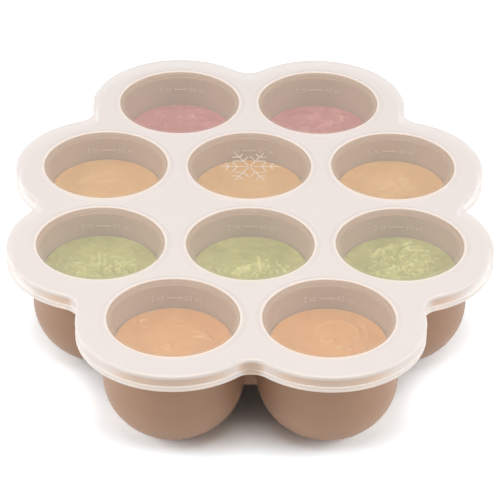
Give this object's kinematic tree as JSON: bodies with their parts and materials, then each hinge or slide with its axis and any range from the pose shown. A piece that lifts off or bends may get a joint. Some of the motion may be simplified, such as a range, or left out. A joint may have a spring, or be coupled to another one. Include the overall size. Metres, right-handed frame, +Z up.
{
  "type": "baby food freezer tray",
  "caption": "Soft silicone tray of round-bottomed cups joined by a lobed deck, with a milky lid that caps it and a set portion of puree in each cup.",
  "frame": {"origin": "middle of the footprint, on the surface that the cups' feet stand on", "axes": "+Z up, +Y to the back along the tray's long side, +X to the right seen from the front"},
  "size_m": [0.2022, 0.244, 0.0519],
  "materials": {
    "tray_silicone": "satin moulded silicone, taupe",
    "lid_silicone": "satin translucent silicone, milky",
    "berry_puree": "moist puree, berry red",
    "mango_puree": "moist puree, golden orange",
    "pea_puree": "moist puree, green",
    "carrot_puree": "moist puree, orange"
  },
  "bodies": {
    "tray": {"tray_deck": "tray_silicone", "support_webs": "tray_silicone", "cup_back_left": "tray_silicone", "cup_back_right": "tray_silicone", "cup_upper_left": "tray_silicone", "cup_upper_centre": "tray_silicone", "cup_upper_right": "tray_silicone", "cup_lower_left": "tray_silicone", "cup_lower_centre": "tray_silicone", "cup_lower_right": "tray_silicone", "cup_front_left": "tray_silicone", "cup_front_right": "tray_silicone"},
    "lid": {"lid": "lid_silicone"},
    "berry_puree_left": {"berry_puree_left": "berry_puree"},
    "berry_puree_right": {"berry_puree_right": "berry_puree"},
    "mango_puree_left": {"mango_puree_left": "mango_puree"},
    "mango_puree_centre": {"mango_puree_centre": "mango_puree"},
    "mango_puree_right": {"mango_puree_right": "mango_puree"},
    "pea_puree_left": {"pea_puree_left": "pea_puree"},
    "pea_puree_centre": {"pea_puree_centre": "pea_puree"},
    "pea_puree_right": {"pea_puree_right": "pea_puree"},
    "carrot_puree_left": {"carrot_puree_left": "carrot_puree"},
    "carrot_puree_right": {"carrot_puree_right": "carrot_puree"}
  },
  "joints": [
    {"name": "lid_lift", "type": "slide", "parent": "tray", "child": "lid", "axis": [0, 0, 1], "range_m": [0, 0.12]},
    {"name": "berry_puree_left_lift", "type": "slide", "parent": "tray", "child": "berry_puree_left", "axis": [0, 0, 1], "range_m": [0, 0.011]},
    {"name": "berry_puree_right_lift", "type": "slide", "parent": "tray", "child": "berry_puree_right", "axis": [0, 0, 1], "range_m": [0, 0.011]},
    {"name": "mango_puree_left_lift", "type": "slide", "parent": "tray", "child": "mango_puree_left", "axis": [0, 0, 1], "range_m": [0, 0.008]},
    {"name": "mango_puree_centre_lift", "type": "slide", "parent": "tray", "child": "mango_puree_centre", "axis": [0, 0, 1], "range_m": [0, 0.008]},
    {"name": "mango_puree_right_lift", "type": "slide", "parent": "tray", "child": "mango_puree_right", "axis": [0, 0, 1], "range_m": [0, 0.008]},
    {"name": "pea_puree_left_lift", "type": "slide", "parent": "tray", "child": "pea_puree_left", "axis": [0, 0, 1], "range_m": [0, 0.008]},
    {"name": "pea_puree_centre_lift", "type": "slide", "parent": "tray", "child": "pea_puree_centre", "axis": [0, 0, 1], "range_m": [0, 0.008]},
    {"name": "pea_puree_right_lift", "type": "slide", "parent": "tray", "child": "pea_puree_right", "axis": [0, 0, 1], "range_m": [0, 0.008]},
    {"name": "carrot_puree_left_lift", "type": "slide", "parent": "tray", "child": "carrot_puree_left", "axis": [0, 0, 1], "range_m": [0, 0.008]},
    {"name": "carrot_puree_right_lift", "type": "slide", "parent": "tray", "child": "carrot_puree_right", "axis": [0, 0, 1], "range_m": [0, 0.008]}
  ]
}
